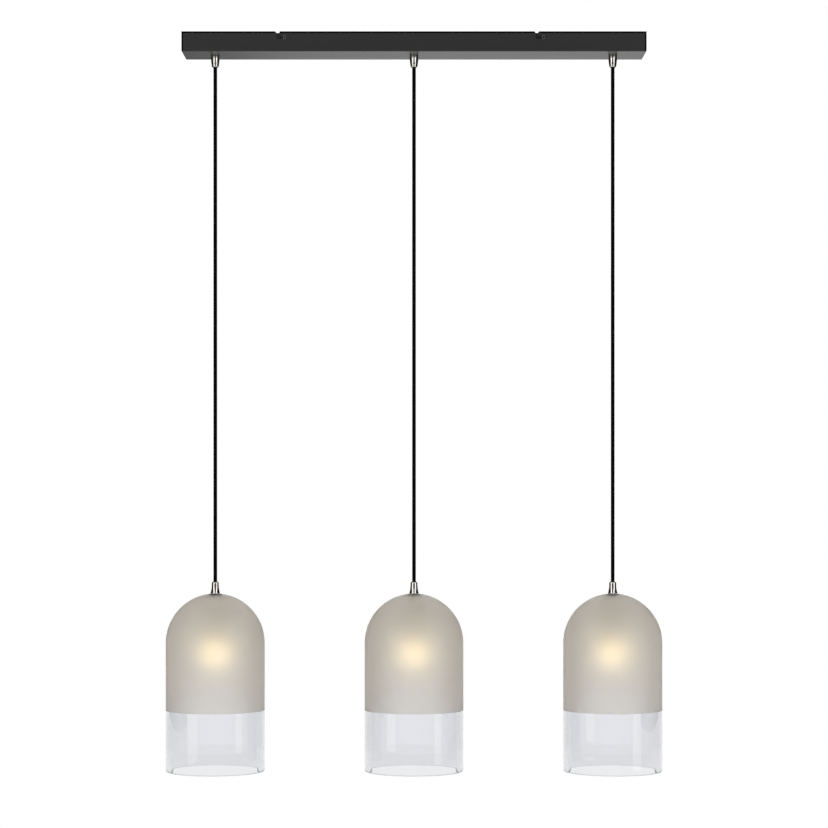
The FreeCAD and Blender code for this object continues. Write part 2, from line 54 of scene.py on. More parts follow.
sides = ("left", "centre", "right")
lampX = {side: round(sum(corner.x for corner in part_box(f"shade_{side}")) / 2, 4) for side in sides}
pitch = lampX["right"] - lampX["centre"]
print("frame loaded:", len(nodes), "nodes, a pendant every", round(pitch, 4), "m")


# the camera stands in front of the middle cord, and its shift keeps the verticals upright
camera = {
    "away": 3.903,          # metres in front of the cords
    "height": -0.6599,      # of the lens, under the ceiling
    "picture": 828,         # pixels across the photograph
    "focalPixels": 2568,    # the lens's focal length in those pixels
    "horizonRow": 470,      # the row that lies level with the lens
    "sensor": 36.0,         # millimetres across
    "farthest": 50,         # metres that the lens still draws
}


def makeCamera(c):
    data = bpy.data.cameras.new("camera")
    data.sensor_width = c["sensor"]
    data.lens = c["sensor"] * c["focalPixels"] / c["picture"]
    data.shift_y = (c["horizonRow"] - c["picture"] / 2) / c["picture"]
    data.clip_end = c["farthest"]
    lens = bpy.data.objects.new("camera", data)
    lens.location = (0, -c["away"], c["height"])
    lens.rotation_euler = (math.pi / 2, 0, 0)
    scene.collection.objects.link(lens)
    scene.camera = lens


makeCamera(camera)
print("camera placed")


def makeMesh(name, grid, closedRows=False, capped=False, crease=35):
    # Quads join the neighbours in grid[row, column]; the columns wrap round. With closedRows the rows wrap too,
    # and capped shuts each end with a fan. The faces are turned so that the volume they hold is positive, and
    # an edge that bends by more than crease degrees is sharp.
    rows, columns = grid.shape[:2]
    points = grid.reshape(-1, 3)
    index = np.arange(rows * columns).reshape(rows, columns)
    upper = index if closedRows else index[:-1]
    lower = np.roll(index, -1, 0) if closedRows else index[1:]
    quads = np.stack([upper, np.roll(upper, -1, 1), np.roll(lower, -1, 1), lower], -1).reshape(-1, 4)
    fans = []
    if capped:
        middles = grid[[0, -1]].mean(1)
        points = np.vstack([points, middles])
        first, last = len(points) - 2, len(points) - 1
        fans = [np.stack([np.full(columns, first), np.roll(index[0], -1), index[0]], -1),
                np.stack([np.full(columns, last), index[-1], np.roll(index[-1], -1)], -1)]
    a, b, c, d = (points[quads[:, k]] for k in range(4))
    volume = (a * np.cross(b, c)).sum() + (a * np.cross(c, d)).sum()
    if volume < 0:
        quads = quads[:, ::-1]
        fans = [fan[:, ::-1] for fan in fans]
    across = np.linalg.norm(np.diff(grid, axis=1, append=grid[:, :1]), axis=2).mean(0).sum()
    along = np.linalg.norm(np.diff(grid[:, 0], axis=0, append=grid[:1, 0]), axis=1)
    along = np.concatenate([[0], np.cumsum(along)])
    faces = quads.tolist() + [face for fan in fans for face in fan.tolist()]
    mesh = bpy.data.meshes.new(name)
    mesh.from_pydata(points.tolist(), [], faces)
    corner = np.tile(np.arange(columns), len(quads) // columns)
    row = np.repeat(np.arange(len(quads) // columns), columns)
    u = np.stack([corner, corner + 1, corner + 1, corner], -1) * across / columns
    v = along[np.stack([row, row, row + 1, row + 1], -1)]
    if volume < 0:
        u, v = u[:, ::-1], v[:, ::-1]
    uv = np.zeros((len(mesh.loops), 2))
    uv[:quads.size] = np.stack([u, v], -1).reshape(-1, 2)
    mesh.uv_layers.new(name="metres").data.foreach_set("uv", uv.ravel())
    mesh.shade_smooth()
    mesh.set_sharp_from_angle(angle=math.radians(crease))
    piece = bpy.data.objects.new(name, mesh)
    scene.collection.objects.link(piece)
    return piece


def revolve(name, profile, x, segments, **options):
    # S(t, a) = (x + r(t) cos a, r(t) sin a, z(t)), where (r, z) runs along the profile
    turn = np.linspace(0, 2 * math.pi, segments, endpoint=False)
    radius, height = np.asarray(profile, float).T
    grid = np.stack([x + np.outer(radius, np.cos(turn)), np.outer(radius, np.sin(turn)),
                     np.repeat(height[:, None], segments, 1)], -1)
    return makeMesh(name, grid, **options)


def arc(centre, radius, start, end, count):
    # C(t) = centre + radius (cos t, sin t), with t from start to end in degrees
    t = np.radians(np.linspace(start, end, count))
    return np.stack([centre[0] + radius * np.cos(t), centre[1] + radius * np.sin(t)], -1)


def centreLine(points, steps):
    # the points that a NURBS spline of order 3 gives through its first and last control points
    curve = bpy.data.curves.new("route", "CURVE")
    curve.dimensions = "3D"
    curve.resolution_u = steps
    spline = curve.splines.new("NURBS")
    spline.points.add(len(points) - 1)
    for point, place in zip(spline.points, points):
        point.co = (*place, 1)
    spline.order_u = 3
    spline.use_endpoint_u = True
    route = bpy.data.objects.new("route", curve)
    line = bpy.data.meshes.new_from_object(route)
    found = np.empty(len(line.vertices) * 3)
    line.vertices.foreach_get("co", found)
    bpy.data.meshes.remove(line)
    bpy.data.objects.remove(route)
    bpy.data.curves.remove(curve)
    return found.reshape(-1, 3)


# each cord is two pieces: the short top between the upper grip and the sway joint, and the run that hangs below
cord = {
    "diameter": 0.0056,
    "exit": -0.0487,        # where the free cord leaves its upper grip
    "swingEnd": -0.0847,    # above this it bends forwards and backwards
    "swayEnd": -0.1207,     # above this it bends sideways
    "middle": -0.494,
    "end": -0.868,          # inside the lampholder
    "around": 40,
    "steps": 40,
}


def makeTube(name, path, diameter, around):
    # S(s, a) = P(s) + r (cos a, sin a, 0) for a path P that hangs straight down
    turn = np.linspace(0, 2 * math.pi, around, endpoint=False)
    ring = np.stack([np.cos(turn), np.sin(turn), np.zeros(around)], -1) * diameter / 2
    return makeMesh(name, path[:, None] + ring[None], capped=True)


def makeCord(side, c):
    x = lampX[side]
    down = {key: (x, 0, c[key]) for key in ("exit", "swingEnd", "swayEnd", "middle", "end")}
    swing = [down["exit"], (x, 0, (c["exit"] + c["swingEnd"]) / 2), down["swingEnd"]]
    sway = [down["swingEnd"], (x, 0, (c["swingEnd"] + c["swayEnd"]) / 2), down["swayEnd"], down["middle"],
            down["end"]]
    pieces = []
    for name, route, bodies, ends, node in (
            ("cord_top", swing, ("canopy", f"cord_bend_{side}"), ("exit", "swingEnd"), f"cord_bend_{side}"),
            ("cord_run", sway, (f"cord_bend_{side}", f"pendant_{side}"), ("swingEnd", "swayEnd"),
             f"cord_{side}")):
        path = centreLine(route, c["steps"])
        piece = makeTube(f"{name}_{side}", path, c["diameter"], c["around"])
        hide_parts(node)
        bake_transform(piece)
        pieces.append(piece)
    return pieces


cords = [piece for side in sides for piece in makeCord(side, cord)]
print("cords made:", len(cords), "pieces")


# a shade's wall is one closed profile, and its attribute "etched" is 1 on the faces above the frost line
shade = {
    "wall": 0.003,
    "seat": 0.009,          # radius of the ground flat on top
    "innerSeat": 0.012,
    "hole": 0.0053,
    "frostLine": -1.0243,
    "segments": 320,
    "domeSteps": 40,
    "skirtSteps": 14,
    "rimSteps": 13,
}


def makeShade(side, s):
    low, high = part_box(f"shade_{side}")
    outer = (high.x - low.x) / 2
    inner, rim = outer - s["wall"], s["wall"] / 2
    centreZ = high.z - math.sqrt(outer ** 2 - s["seat"] ** 2)
    innerSeatZ = centreZ + math.sqrt(inner ** 2 - s["innerSeat"] ** 2)
    outerStart = math.degrees(math.acos(s["seat"] / outer))
    innerStart = math.degrees(math.acos(s["innerSeat"] / inner))
    skirt = np.concatenate([np.linspace(centreZ, s["frostLine"], s["skirtSteps"])[1:],
                            np.linspace(s["frostLine"], low.z + rim, s["skirtSteps"])[1:-1]])
    profile = np.vstack([
        [(s["hole"], high.z)],
        arc((0, centreZ), outer, outerStart, 0, s["domeSteps"]),
        np.stack([np.full(len(skirt), outer), skirt], -1),
        arc((outer - rim, low.z + rim), rim, 0, -180, s["rimSteps"]),
        np.stack([np.full(len(skirt), inner), skirt[::-1]], -1),
        arc((0, centreZ), inner, 0, innerStart, s["domeSteps"]),
        [(s["hole"], innerSeatZ)],
    ])
    piece = revolve(f"glass_{side}", profile, lampX[side], s["segments"], closedRows=True)
    middles = np.empty(len(piece.data.polygons) * 3)
    piece.data.polygons.foreach_get("center", middles)
    etched = piece.data.attributes.new("etched", "FLOAT", "FACE")
    etched.data.foreach_set("value", (middles[2::3] > s["frostLine"]).astype(np.float32))
    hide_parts(f"shade_{side}")
    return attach(piece, f"pendant_{side}")


glasses = [makeShade(side, shade) for side in sides]
print("shades made:", len(glasses))


# short names for the shader nodes that the finishes share
def newGroup(name, inputs, outputs):
    tree = bpy.data.node_groups.new(name, "ShaderNodeTree")
    for label, value in inputs.items():
        kind = "NodeSocketColor" if isinstance(value, tuple) else "NodeSocketFloat"
        tree.interface.new_socket(label, in_out="INPUT", socket_type=kind).default_value = value
    for label, kind in outputs.items():
        tree.interface.new_socket(label, in_out="OUTPUT", socket_type=f"NodeSocket{kind}")
    return tree, tree.nodes.new("NodeGroupInput").outputs, tree.nodes.new("NodeGroupOutput").inputs


def join(tree, source, target):
    if isinstance(source, bpy.types.NodeSocket):
        tree.links.new(source, target)
    elif source is not None:
        target.default_value = source


def sums(tree, operation, first, second=None, third=None):
    node = tree.nodes.new("ShaderNodeMath")
    node.operation = operation
    for socket, value in zip(node.inputs, (first, second, third)):
        join(tree, value, socket)
    return node.outputs[0]


def vectorOf(tree, x, y, z):
    node = tree.nodes.new("ShaderNodeCombineXYZ")
    for socket, value in zip(node.inputs, (x, y, z)):
        join(tree, value, socket)
    return node.outputs[0]


def partsOf(tree, vector):
    node = tree.nodes.new("ShaderNodeSeparateXYZ")
    join(tree, vector, node.inputs[0])
    return node.outputs


def objectPlace(tree):
    return tree.nodes.new("ShaderNodeTexCoord").outputs["Object"]


def distance(tree, x, y):
    # the root of x squared plus y squared
    return sums(tree, "SQRT", sums(tree, "ADD", sums(tree, "MULTIPLY", x, x), sums(tree, "MULTIPLY", y, y)))


def noise(tree, vector, scale, detail=3.0, roughness=0.55):
    node = tree.nodes.new("ShaderNodeTexNoise")
    for label, value in (("Vector", vector), ("Scale", scale), ("Detail", detail), ("Roughness", roughness)):
        join(tree, value, node.inputs[label])
    return node.outputs["Fac"]


def blendTones(tree, factor, first, second):
    node = tree.nodes.new("ShaderNodeMix")
    node.data_type = "RGBA"
    for socket, value in ((node.inputs["Factor"], factor), (node.inputs[6], first), (node.inputs[7], second)):
        join(tree, value, socket)
    return node.outputs[2]


def between(tree, value, low, high):
    # low where value is 0 and high where it is 1
    node = tree.nodes.new("ShaderNodeMapRange")
    for label, source in (("Value", value), ("To Min", low), ("To Max", high)):
        join(tree, source, node.inputs[label])
    return node.outputs[0]


def step(tree, value, start, end):
    # 0 at start and before it, 1 at end and past it
    node = tree.nodes.new("ShaderNodeMapRange")
    for label, source in (("Value", value), ("From Min", start), ("From Max", end)):
        join(tree, source, node.inputs[label])
    return node.outputs[0]


def newMaterial(name, values):
    material = bpy.data.materials.new(name)
    material.use_nodes = True
    shader = material.node_tree.nodes["Principled BSDF"]
    for label, value in values.items():
        shader.inputs[label].default_value = value
    return material, material.node_tree, shader.inputs


def place(tree, group, values):
    node = tree.nodes.new("ShaderNodeGroup")
    node.node_tree = group
    for label, value in values.items():
        node.inputs[label].default_value = value
    return node.outputs


def addBump(tree, height, target, depth):
    node = tree.nodes.new("ShaderNodeBump")
    node.inputs["Distance"].default_value = depth
    node.inputs["Strength"].default_value = 1.0
    join(tree, height, node.inputs["Height"])
    join(tree, node.outputs[0], target)


grainNoise = {
    "fineDetail": 2.0,
    "cloudDetail": 3.0,
    "span": (0.3, 0.7),     # the noise that gives tone A and tone B
}


def makeGrain(g):
    # fine grain and slow cloudiness on Object coordinates, drawn out along X by the stretch
    tree, given, out = newGroup("grain", {
        "Grain Scale": 900.0, "Cloud Scale": 12.0, "Cloud Share": 0.5, "X Stretch": 1.0,
        "Tone A": (0.5, 0.5, 0.5, 1), "Tone B": (0.6, 0.6, 0.6, 1), "Rough Low": 0.4, "Rough High": 0.5},
        {"Color": "Color", "Roughness": "Float", "Height": "Float"})
    x, y, z = partsOf(tree, objectPlace(tree))
    drawn = vectorOf(tree, sums(tree, "DIVIDE", x, given["X Stretch"]), y, z)
    fine = noise(tree, drawn, given["Grain Scale"], g["fineDetail"])
    cloud = noise(tree, drawn, given["Cloud Scale"], g["cloudDetail"])
    tone = sums(tree, "ADD", sums(tree, "MULTIPLY", cloud, given["Cloud Share"]),
                sums(tree, "MULTIPLY", fine, sums(tree, "SUBTRACT", 1.0, given["Cloud Share"])))
    tone = step(tree, tone, *g["span"])
    join(tree, blendTones(tree, tone, given["Tone A"], given["Tone B"]), out["Color"])
    join(tree, between(tree, tone, given["Rough Low"], given["Rough High"]), out["Roughness"])
    join(tree, fine, out["Height"])
    return tree


turnedNoise = {
    "detail": 2.0,
    "cloudScale": 160.0,
    "ringShare": 0.7,
    "cloudShare": 0.3,
    "span": (0.3, 0.7),     # the noise that gives tone A and tone B
    "depth": 0.000002,
}


def makeTurned(t):
    # the fine rings that a lathe leaves round the vertical line through each pendant
    tree, given, out = newGroup("turned", {
        "Ring Scale": 2600.0, "Tone A": (0.6, 0.6, 0.6, 1), "Tone B": (0.7, 0.7, 0.7, 1), "Rough Low": 0.2,
        "Rough High": 0.3}, {"Color": "Color", "Roughness": "Float", "Height": "Float"})
    x, y, z = partsOf(tree, objectPlace(tree))
    x = sums(tree, "WRAP", x, pitch / 2, -pitch / 2)
    rings = noise(tree, vectorOf(tree, distance(tree, x, y), 0.0, z), given["Ring Scale"], t["detail"])
    cloud = noise(tree, vectorOf(tree, x, y, z), t["cloudScale"], t["detail"])
    mixed = sums(tree, "ADD", sums(tree, "MULTIPLY", rings, t["ringShare"]),
                 sums(tree, "MULTIPLY", cloud, t["cloudShare"]))
    tone = step(tree, mixed, *t["span"])
    join(tree, blendTones(tree, tone, given["Tone A"], given["Tone B"]), out["Color"])
    join(tree, between(tree, tone, given["Rough Low"], given["Rough High"]), out["Roughness"])
    join(tree, rings, out["Height"])
    return tree


braidYarn = {
    "squeeze": 0.2,         # of the noise across the right-hand strands
    "scale": 9.0,
    "detail": 2.0,
    "darkest": 0.4,
    "height": 0.35,         # next to a strand's height of 1
}


def makeBraid(b):
    # a plain braid on the UV map in metres: two families of strands cross, and each goes over and under in turn
    tree, given, out = newGroup("braid", {
        "Strands Round": 12.0, "Round": 0.0176, "Lay": 0.0035, "Tone A": (0.01, 0.01, 0.01, 1),
        "Tone B": (0.03, 0.03, 0.03, 1)}, {"Color": "Color", "Height": "Float"})
    u, v, _ = partsOf(tree, tree.nodes.new("ShaderNodeTexCoord").outputs["UV"])
    around = sums(tree, "MULTIPLY", sums(tree, "DIVIDE", u, given["Round"]), given["Strands Round"])
    along = sums(tree, "DIVIDE", v, given["Lay"])
    right, left = sums(tree, "ADD", around, along), sums(tree, "SUBTRACT", around, along)
    over = sums(tree, "PINGPONG", sums(tree, "ADD", sums(tree, "FLOOR", right), sums(tree, "FLOOR", left)), 1.0)
    ridges = []
    for way in (right, left):
        ridges.append(sums(tree, "SINE", sums(tree, "MULTIPLY", sums(tree, "FRACT", way), math.pi)))
    height = sums(tree, "ADD", sums(tree, "MULTIPLY", ridges[0], over),
                  sums(tree, "MULTIPLY", ridges[1], sums(tree, "SUBTRACT", 1.0, over)))
    drawn = vectorOf(tree, sums(tree, "MULTIPLY", right, b["squeeze"]), left, 0.0)
    yarn = noise(tree, drawn, b["scale"], b["detail"])
    # painted shade and painted highlight: the colour follows the strands' height, darker in the gaps and
    # lighter on the tops
    tone = sums(tree, "MULTIPLY", height, between(tree, yarn, b["darkest"], 1.0))
    join(tree, blendTones(tree, tone, given["Tone A"], given["Tone B"]), out["Color"])
    join(tree, sums(tree, "ADD", height, sums(tree, "MULTIPLY", yarn, b["height"])), out["Height"])
    return tree


grain, turned, braid = makeGrain(grainNoise), makeTurned(turnedNoise), makeBraid(braidYarn)


# what each plain finish looks like: two tones, the roughness between them, and where it differs from plainLook
metal = {"Metallic": 1.0}
dull = {"Specular IOR Level": 0.3}
plainLook = {"shader": {}, "grain": 900, "cloud": 12, "share": 0.5, "depth": 0.00002}
looks = {
    "zincPlate": {"tones": ((0.50, 0.51, 0.52), (0.66, 0.67, 0.68)), "rough": (0.28, 0.45), "shader": metal,
                  "grain": 700, "cloud": 60, "share": 0.7},
    "blackOxide": {"tones": ((0.07, 0.07, 0.072), (0.12, 0.12, 0.122)), "rough": (0.16, 0.24), "shader": metal,
                   "grain": 1200},
    "blackSteel": {"tones": ((0.002, 0.002, 0.002), (0.004, 0.004, 0.004)), "rough": (0.5, 0.6),
                   "shader": dull, "grain": 1200},
    "blackNylon": {"tones": ((0.006, 0.006, 0.007), (0.010, 0.010, 0.011)), "rough": (0.42, 0.55),
                   "shader": dull, "grain": 2500},
    "blackSheath": {"tones": ((0.006, 0.006, 0.006), (0.014, 0.014, 0.014)), "rough": (0.6, 0.8),
                    "shader": dull, "grain": 1800, "depth": 0.0001},
    "whiteFoam": {"tones": ((0.72, 0.72, 0.70), (0.85, 0.85, 0.83)), "rough": (0.85, 0.95), "grain": 1500,
                  "depth": 0.0002},
    "naturalNylon": {"tones": ((0.74, 0.72, 0.66), (0.82, 0.80, 0.74)), "rough": (0.35, 0.45), "grain": 800,
                     "shader": {"Subsurface Weight": 0.2, "Subsurface Scale": 0.002}},
    "brass": {"tones": ((0.72, 0.52, 0.22), (0.82, 0.62, 0.30)), "rough": (0.22, 0.35), "shader": metal},
    "tinned": {"tones": ((0.62, 0.60, 0.57), (0.74, 0.72, 0.69)), "rough": (0.25, 0.4), "shader": metal},
    "brownPvc": {"tones": ((0.10, 0.040, 0.018), (0.14, 0.056, 0.026)), "rough": (0.3, 0.4)},
    "bluePvc": {"tones": ((0.012, 0.09, 0.38), (0.02, 0.12, 0.46)), "rough": (0.3, 0.4)},
    "silicone": {"tones": ((0.86, 0.86, 0.85), (0.92, 0.92, 0.91)), "rough": (0.25, 0.35),
                 "shader": {"Transmission Weight": 0.6, "IOR": 1.41}},
    "whitePlastic": {"tones": ((0.80, 0.79, 0.75), (0.86, 0.85, 0.81)), "rough": (0.28, 0.36), "grain": 1200},
}
lathedLooks = {
    "satinNickel": {"tones": ((0.56, 0.54, 0.50), (0.66, 0.64, 0.60)), "rough": (0.10, 0.16)},
    "nickelShell": {"tones": ((0.62, 0.60, 0.55), (0.72, 0.70, 0.65)), "rough": (0.2, 0.3)},
}


def dress(name, look, group, values):
    # a material whose tones, roughness and bump all come from one shared group
    material, tree, shader = newMaterial(name, look["shader"])
    (toneA, toneB), (roughLow, roughHigh) = look["tones"], look["rough"]
    made = place(tree, group, {"Tone A": (*toneA, 1), "Tone B": (*toneB, 1), "Rough Low": roughLow,
                               "Rough High": roughHigh, **values})
    join(tree, made["Color"], shader["Base Color"])
    join(tree, made["Roughness"], shader["Roughness"])
    addBump(tree, made["Height"], shader["Normal"], look["depth"])
    return material


def grained(name, look):
    look = {**plainLook, **look}
    return dress(name, look, grain, {"Grain Scale": look["grain"], "Cloud Scale": look["cloud"],
                                     "Cloud Share": look["share"]})


def lathed(name, look):
    return dress(name, {"shader": metal, "depth": turnedNoise["depth"], **look}, turned, {})


# satin powder coat, a little drawn out along the bar; a dark metallic strip along the top edge and the end
# folds is painted shade
powderCoat = {
    "toneA": (0.010, 0.010, 0.0105, 1),
    "toneB": (0.016, 0.016, 0.0165, 1),
    "rough": (0.34, 0.44),
    "specular": 0.5,
    "grain": 1600,
    "cloud": 9,
    "stretch": 6,
    "depth": 0.00002,
    "edgeShadeTone": (0.002, 0.002, 0.002, 1),
    "edgeShade": 0.0028,         # width of the painted shade strip
    "soft": 0.0006,         # width over which it fades
}


def makePowderCoat(p):
    material, tree, shader = newMaterial("powderCoat", {"Specular IOR Level": p["specular"]})
    made = place(tree, grain, {
        "Grain Scale": p["grain"], "Cloud Scale": p["cloud"], "X Stretch": p["stretch"],
        "Tone A": p["toneA"], "Tone B": p["toneB"], "Rough Low": p["rough"][0], "Rough High": p["rough"][1]})
    low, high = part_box("canopy")
    x, y, z = partsOf(tree, objectPlace(tree))
    # painted shade: a dark strip along the top edge and along the folds at both ends
    end, front, under, top = (
        step(tree, far, edge - p["edgeShade"], edge - p["edgeShade"] + p["soft"])
        for far, edge in ((sums(tree, "ABSOLUTE", x), high.x), (sums(tree, "ABSOLUTE", y), high.y),
                          (sums(tree, "MULTIPLY", z, -1.0), -low.z), (z, high.z)))
    fold = sums(tree, "MULTIPLY", end, sums(tree, "MAXIMUM", front, under))
    edgeShade = sums(tree, "MAXIMUM", fold, top)
    join(tree, blendTones(tree, edgeShade, made["Color"], p["edgeShadeTone"]), shader["Base Color"])
    join(tree, edgeShade, shader["Metallic"])
    join(tree, made["Roughness"], shader["Roughness"])
    addBump(tree, made["Height"], shader["Normal"], p["depth"])
    return material


# the cords' textile sleeve
sleeve = {
    "rough": 0.9,
    "specular": 0.05,
    "strands": 12,
    "lay": 0.0032,          # metres along the cord for each crossing
    "toneA": (0.0006, 0.0006, 0.0006, 1),
    "toneB": (0.004, 0.004, 0.004, 1),
    "depth": 0.00012,
}


def makeSleeve(s):
    material, tree, shader = newMaterial(
        "blackBraid", {"Roughness": s["rough"], "Specular IOR Level": s["specular"]})
    made = place(tree, braid, {
        "Strands Round": s["strands"], "Round": math.pi * cord["diameter"], "Lay": s["lay"],
        "Tone A": s["toneA"], "Tone B": s["toneB"]})
    join(tree, made["Color"], shader["Base Color"])
    addBump(tree, made["Height"], shader["Normal"], s["depth"])
    return material


# one glass: smooth, and etched where the mesh says so; its tones change where the wall is seen edge on, and
# painted shade darkens it towards the top of the dome and towards the rim
glass = {
    "clearTone": (0.896, 0.905, 0.930, 1),
    "clearEdge": (0.715, 0.718, 0.735, 1),
    "rimShadeTone": (0.850, 0.858, 0.880, 1),
    "rim": (-1.082, -1.087),        # the heights over which the clear tone turns into the rim's painted shade
    "etchedToneA": (0.918, 0.900, 0.878, 1),
    "etchedToneB": (0.906, 0.888, 0.866, 1),
    "etchedEdge": (0.876, 0.836, 0.785, 1),
    "domeShadeTone": (0.850, 0.822, 0.772, 1),
    "dome": (-1.010, -0.865),       # the heights over which the etched tones turn into the dome's painted shade
    "etchedRough": (0.58, 0.66),
    "etchDepth": 0.00002,
    "etchGrain": 1400,
    "etchCloud": 25,
    "index": 1.5,                   # of refraction
    "absorbed": (0.66, 0.64, 0.60, 1),
    "density": 25.0,
}


def makeGlass(g):
    material, tree, shader = newMaterial("smokedGlass", {"Transmission Weight": 1.0, "IOR": g["index"]})
    made = place(tree, grain, {
        "Grain Scale": g["etchGrain"], "Cloud Scale": g["etchCloud"], "Tone A": g["etchedToneA"],
        "Tone B": g["etchedToneB"], "Rough Low": g["etchedRough"][0], "Rough High": g["etchedRough"][1]})
    mark = tree.nodes.new("ShaderNodeAttribute")
    mark.attribute_name = "etched"
    etched = mark.outputs["Fac"]
    facing = tree.nodes.new("ShaderNodeLayerWeight").outputs["Facing"]
    _, _, z = partsOf(tree, objectPlace(tree))
    clear = blendTones(tree, facing, g["clearTone"], g["clearEdge"])
    # painted shade: the clear glass turns darker towards the rim
    clear = blendTones(tree, step(tree, z, *g["rim"]), clear, g["rimShadeTone"])
    # painted shade: the etched glass turns darker and warmer towards the top of the dome
    frosted = blendTones(tree, step(tree, z, *g["dome"]), made["Color"], g["domeShadeTone"])
    frosted = blendTones(tree, facing, frosted, g["etchedEdge"])
    join(tree, blendTones(tree, etched, clear, frosted), shader["Base Color"])
    join(tree, sums(tree, "MULTIPLY", etched, made["Roughness"]), shader["Roughness"])
    addBump(tree, sums(tree, "MULTIPLY", etched, made["Height"]), shader["Normal"], g["etchDepth"])
    absorb = tree.nodes.new("ShaderNodeVolumeAbsorption")
    absorb.inputs["Color"].default_value = g["absorbed"]
    absorb.inputs["Density"].default_value = g["density"]
    join(tree, absorb.outputs[0], tree.nodes["Material Output"].inputs["Volume"])
    return material


# the lit ball, weaker in its throat
opal = {
    "strength": 1.55,
    "toneA": (0.22, 0.19, 0.13, 1),
    "toneB": (0.27, 0.24, 0.17, 1),
    "throat": (-0.912, -0.930),     # the heights over which the throat's glow turns into the ball's
    "throatGlow": (0.43, 0.34, 0.21, 1),
    "glow": (1.0, 0.86, 0.58, 1),
    "rough": 0.3,
    "mottle": 60.0,
}


def makeOpal(o):
    material, tree, shader = newMaterial(
        "litOpal", {"Roughness": o["rough"], "Emission Strength": o["strength"]})
    _, _, z = partsOf(tree, objectPlace(tree))
    level = step(tree, z, *o["throat"])
    mottle = noise(tree, objectPlace(tree), o["mottle"])
    join(tree, blendTones(tree, level, o["throatGlow"], o["glow"]), shader["Emission Color"])
    join(tree, blendTones(tree, mottle, o["toneA"], o["toneB"]), shader["Base Color"])
    return material


# green and yellow stripes that run along the earth leads, told apart by which way their surface faces
insulation = {
    "rough": 0.35,
    "stripe": (0.30, 0.34),         # the upward share of the facing over which green turns into yellow
    "green": ((0.01, 0.16, 0.03, 1), (0.015, 0.20, 0.04, 1)),
    "yellow": ((0.72, 0.60, 0.03, 1), (0.80, 0.68, 0.05, 1)),
    "mottle": 300.0,
    "depth": 0.00002,
}


def makeInsulation(i):
    material, tree, shader = newMaterial("greenYellow", {"Roughness": i["rough"]})
    _, _, facing = partsOf(tree, tree.nodes.new("ShaderNodeTexCoord").outputs["Normal"])
    stripe = step(tree, facing, *i["stripe"])
    mottle = noise(tree, objectPlace(tree), i["mottle"])
    green = blendTones(tree, mottle, *i["green"])
    yellow = blendTones(tree, mottle, *i["yellow"])
    join(tree, blendTones(tree, stripe, green, yellow), shader["Base Color"])
    addBump(tree, mottle, shader["Normal"], i["depth"])
    return material


# nickel-plated shell, with the black insulator and the bright contact above it
lampCap = {
    "rough": 0.25,
    "shellEnd": (-0.8888, -0.8887),     # the heights over which the shell turns into the insulator
    "contactEnd": (-0.8853, -0.8854),   # and the contact, from above
    "nickel": ((0.60, 0.58, 0.54, 1), (0.68, 0.66, 0.62, 1)),
    "black": (0.01, 0.01, 0.012, 1),
    "mottle": 500.0,
    "depth": 0.00001,
}


def makeLampCap(c):
    material, tree, shader = newMaterial("lampCap", {"Metallic": 1.0, "Roughness": c["rough"]})
    _, _, z = partsOf(tree, objectPlace(tree))
    black = sums(tree, "MULTIPLY", step(tree, z, *c["shellEnd"]), step(tree, z, *c["contactEnd"]))
    mottle = noise(tree, objectPlace(tree), c["mottle"])
    nickel = blendTones(tree, mottle, *c["nickel"])
    join(tree, blendTones(tree, black, nickel, c["black"]), shader["Base Color"])
    join(tree, sums(tree, "SUBTRACT", 1.0, black), shader["Metallic"])
    addBump(tree, mottle, shader["Normal"], c["depth"])
    return material


finishes = {name: grained(name, look) for name, look in looks.items()}
finishes.update({name: lathed(name, look) for name, look in lathedLooks.items()})
finishes.update({
    "powderCoat": makePowderCoat(powderCoat), "greenYellow": makeInsulation(insulation),
    "lampCap": makeLampCap(lampCap), "litOpal": makeOpal(opal), "blackBraid": makeSleeve(sleeve),
    "smokedGlass": makeGlass(glass),
})

# the finish of each CAD node that stays in the picture, and of those that every pendant has
nodeFinish = {
    "canopy": "powderCoat", "bracket_left": "blackSteel", "bracket_right": "blackSteel",
    "side_screws": "blackOxide", "upper_grips": "satinNickel", "upper_collets": "blackNylon",
    "upper_stems": "zincPlate", "upper_washers": "zincPlate", "upper_nuts": "zincPlate",
    "cord_tails": "blackSheath", "terminal_pad": "whiteFoam", "terminal_block": "naturalNylon",
    "terminal_clamps": "brass", "terminal_screws": "zincPlate", "live_leads": "brownPvc",
    "neutral_leads": "bluePvc", "earth_leads": "greenYellow", "earth_stud": "zincPlate",
    "earth_tag": "tinned", "earth_nut": "zincPlate",
}
pendantFinish = {
    "lower_collet": "blackNylon", "lower_grip": "satinNickel", "lower_stem": "zincPlate",
    "shade_seals": "silicone", "shade_nut": "zincPlate", "holder_cap": "whitePlastic",
    "holder_body": "whitePlastic", "holder_contacts": "nickelShell", "lamp_cap": "lampCap",
    "lamp_globe": "litOpal",
}
nodeFinish.update({f"{node}_{side}": finish for side in sides for node, finish in pendantFinish.items()})
for node, finish in nodeFinish.items():
    for slot in nodes[node].material_slots:
        slot.material = finishes[finish]
for pieces, finish in ((cords, "blackBraid"), (glasses, "smokedGlass")):
    for piece in pieces:
        piece.data.materials.append(finishes[finish])
print("finishes placed:", len(finishes))


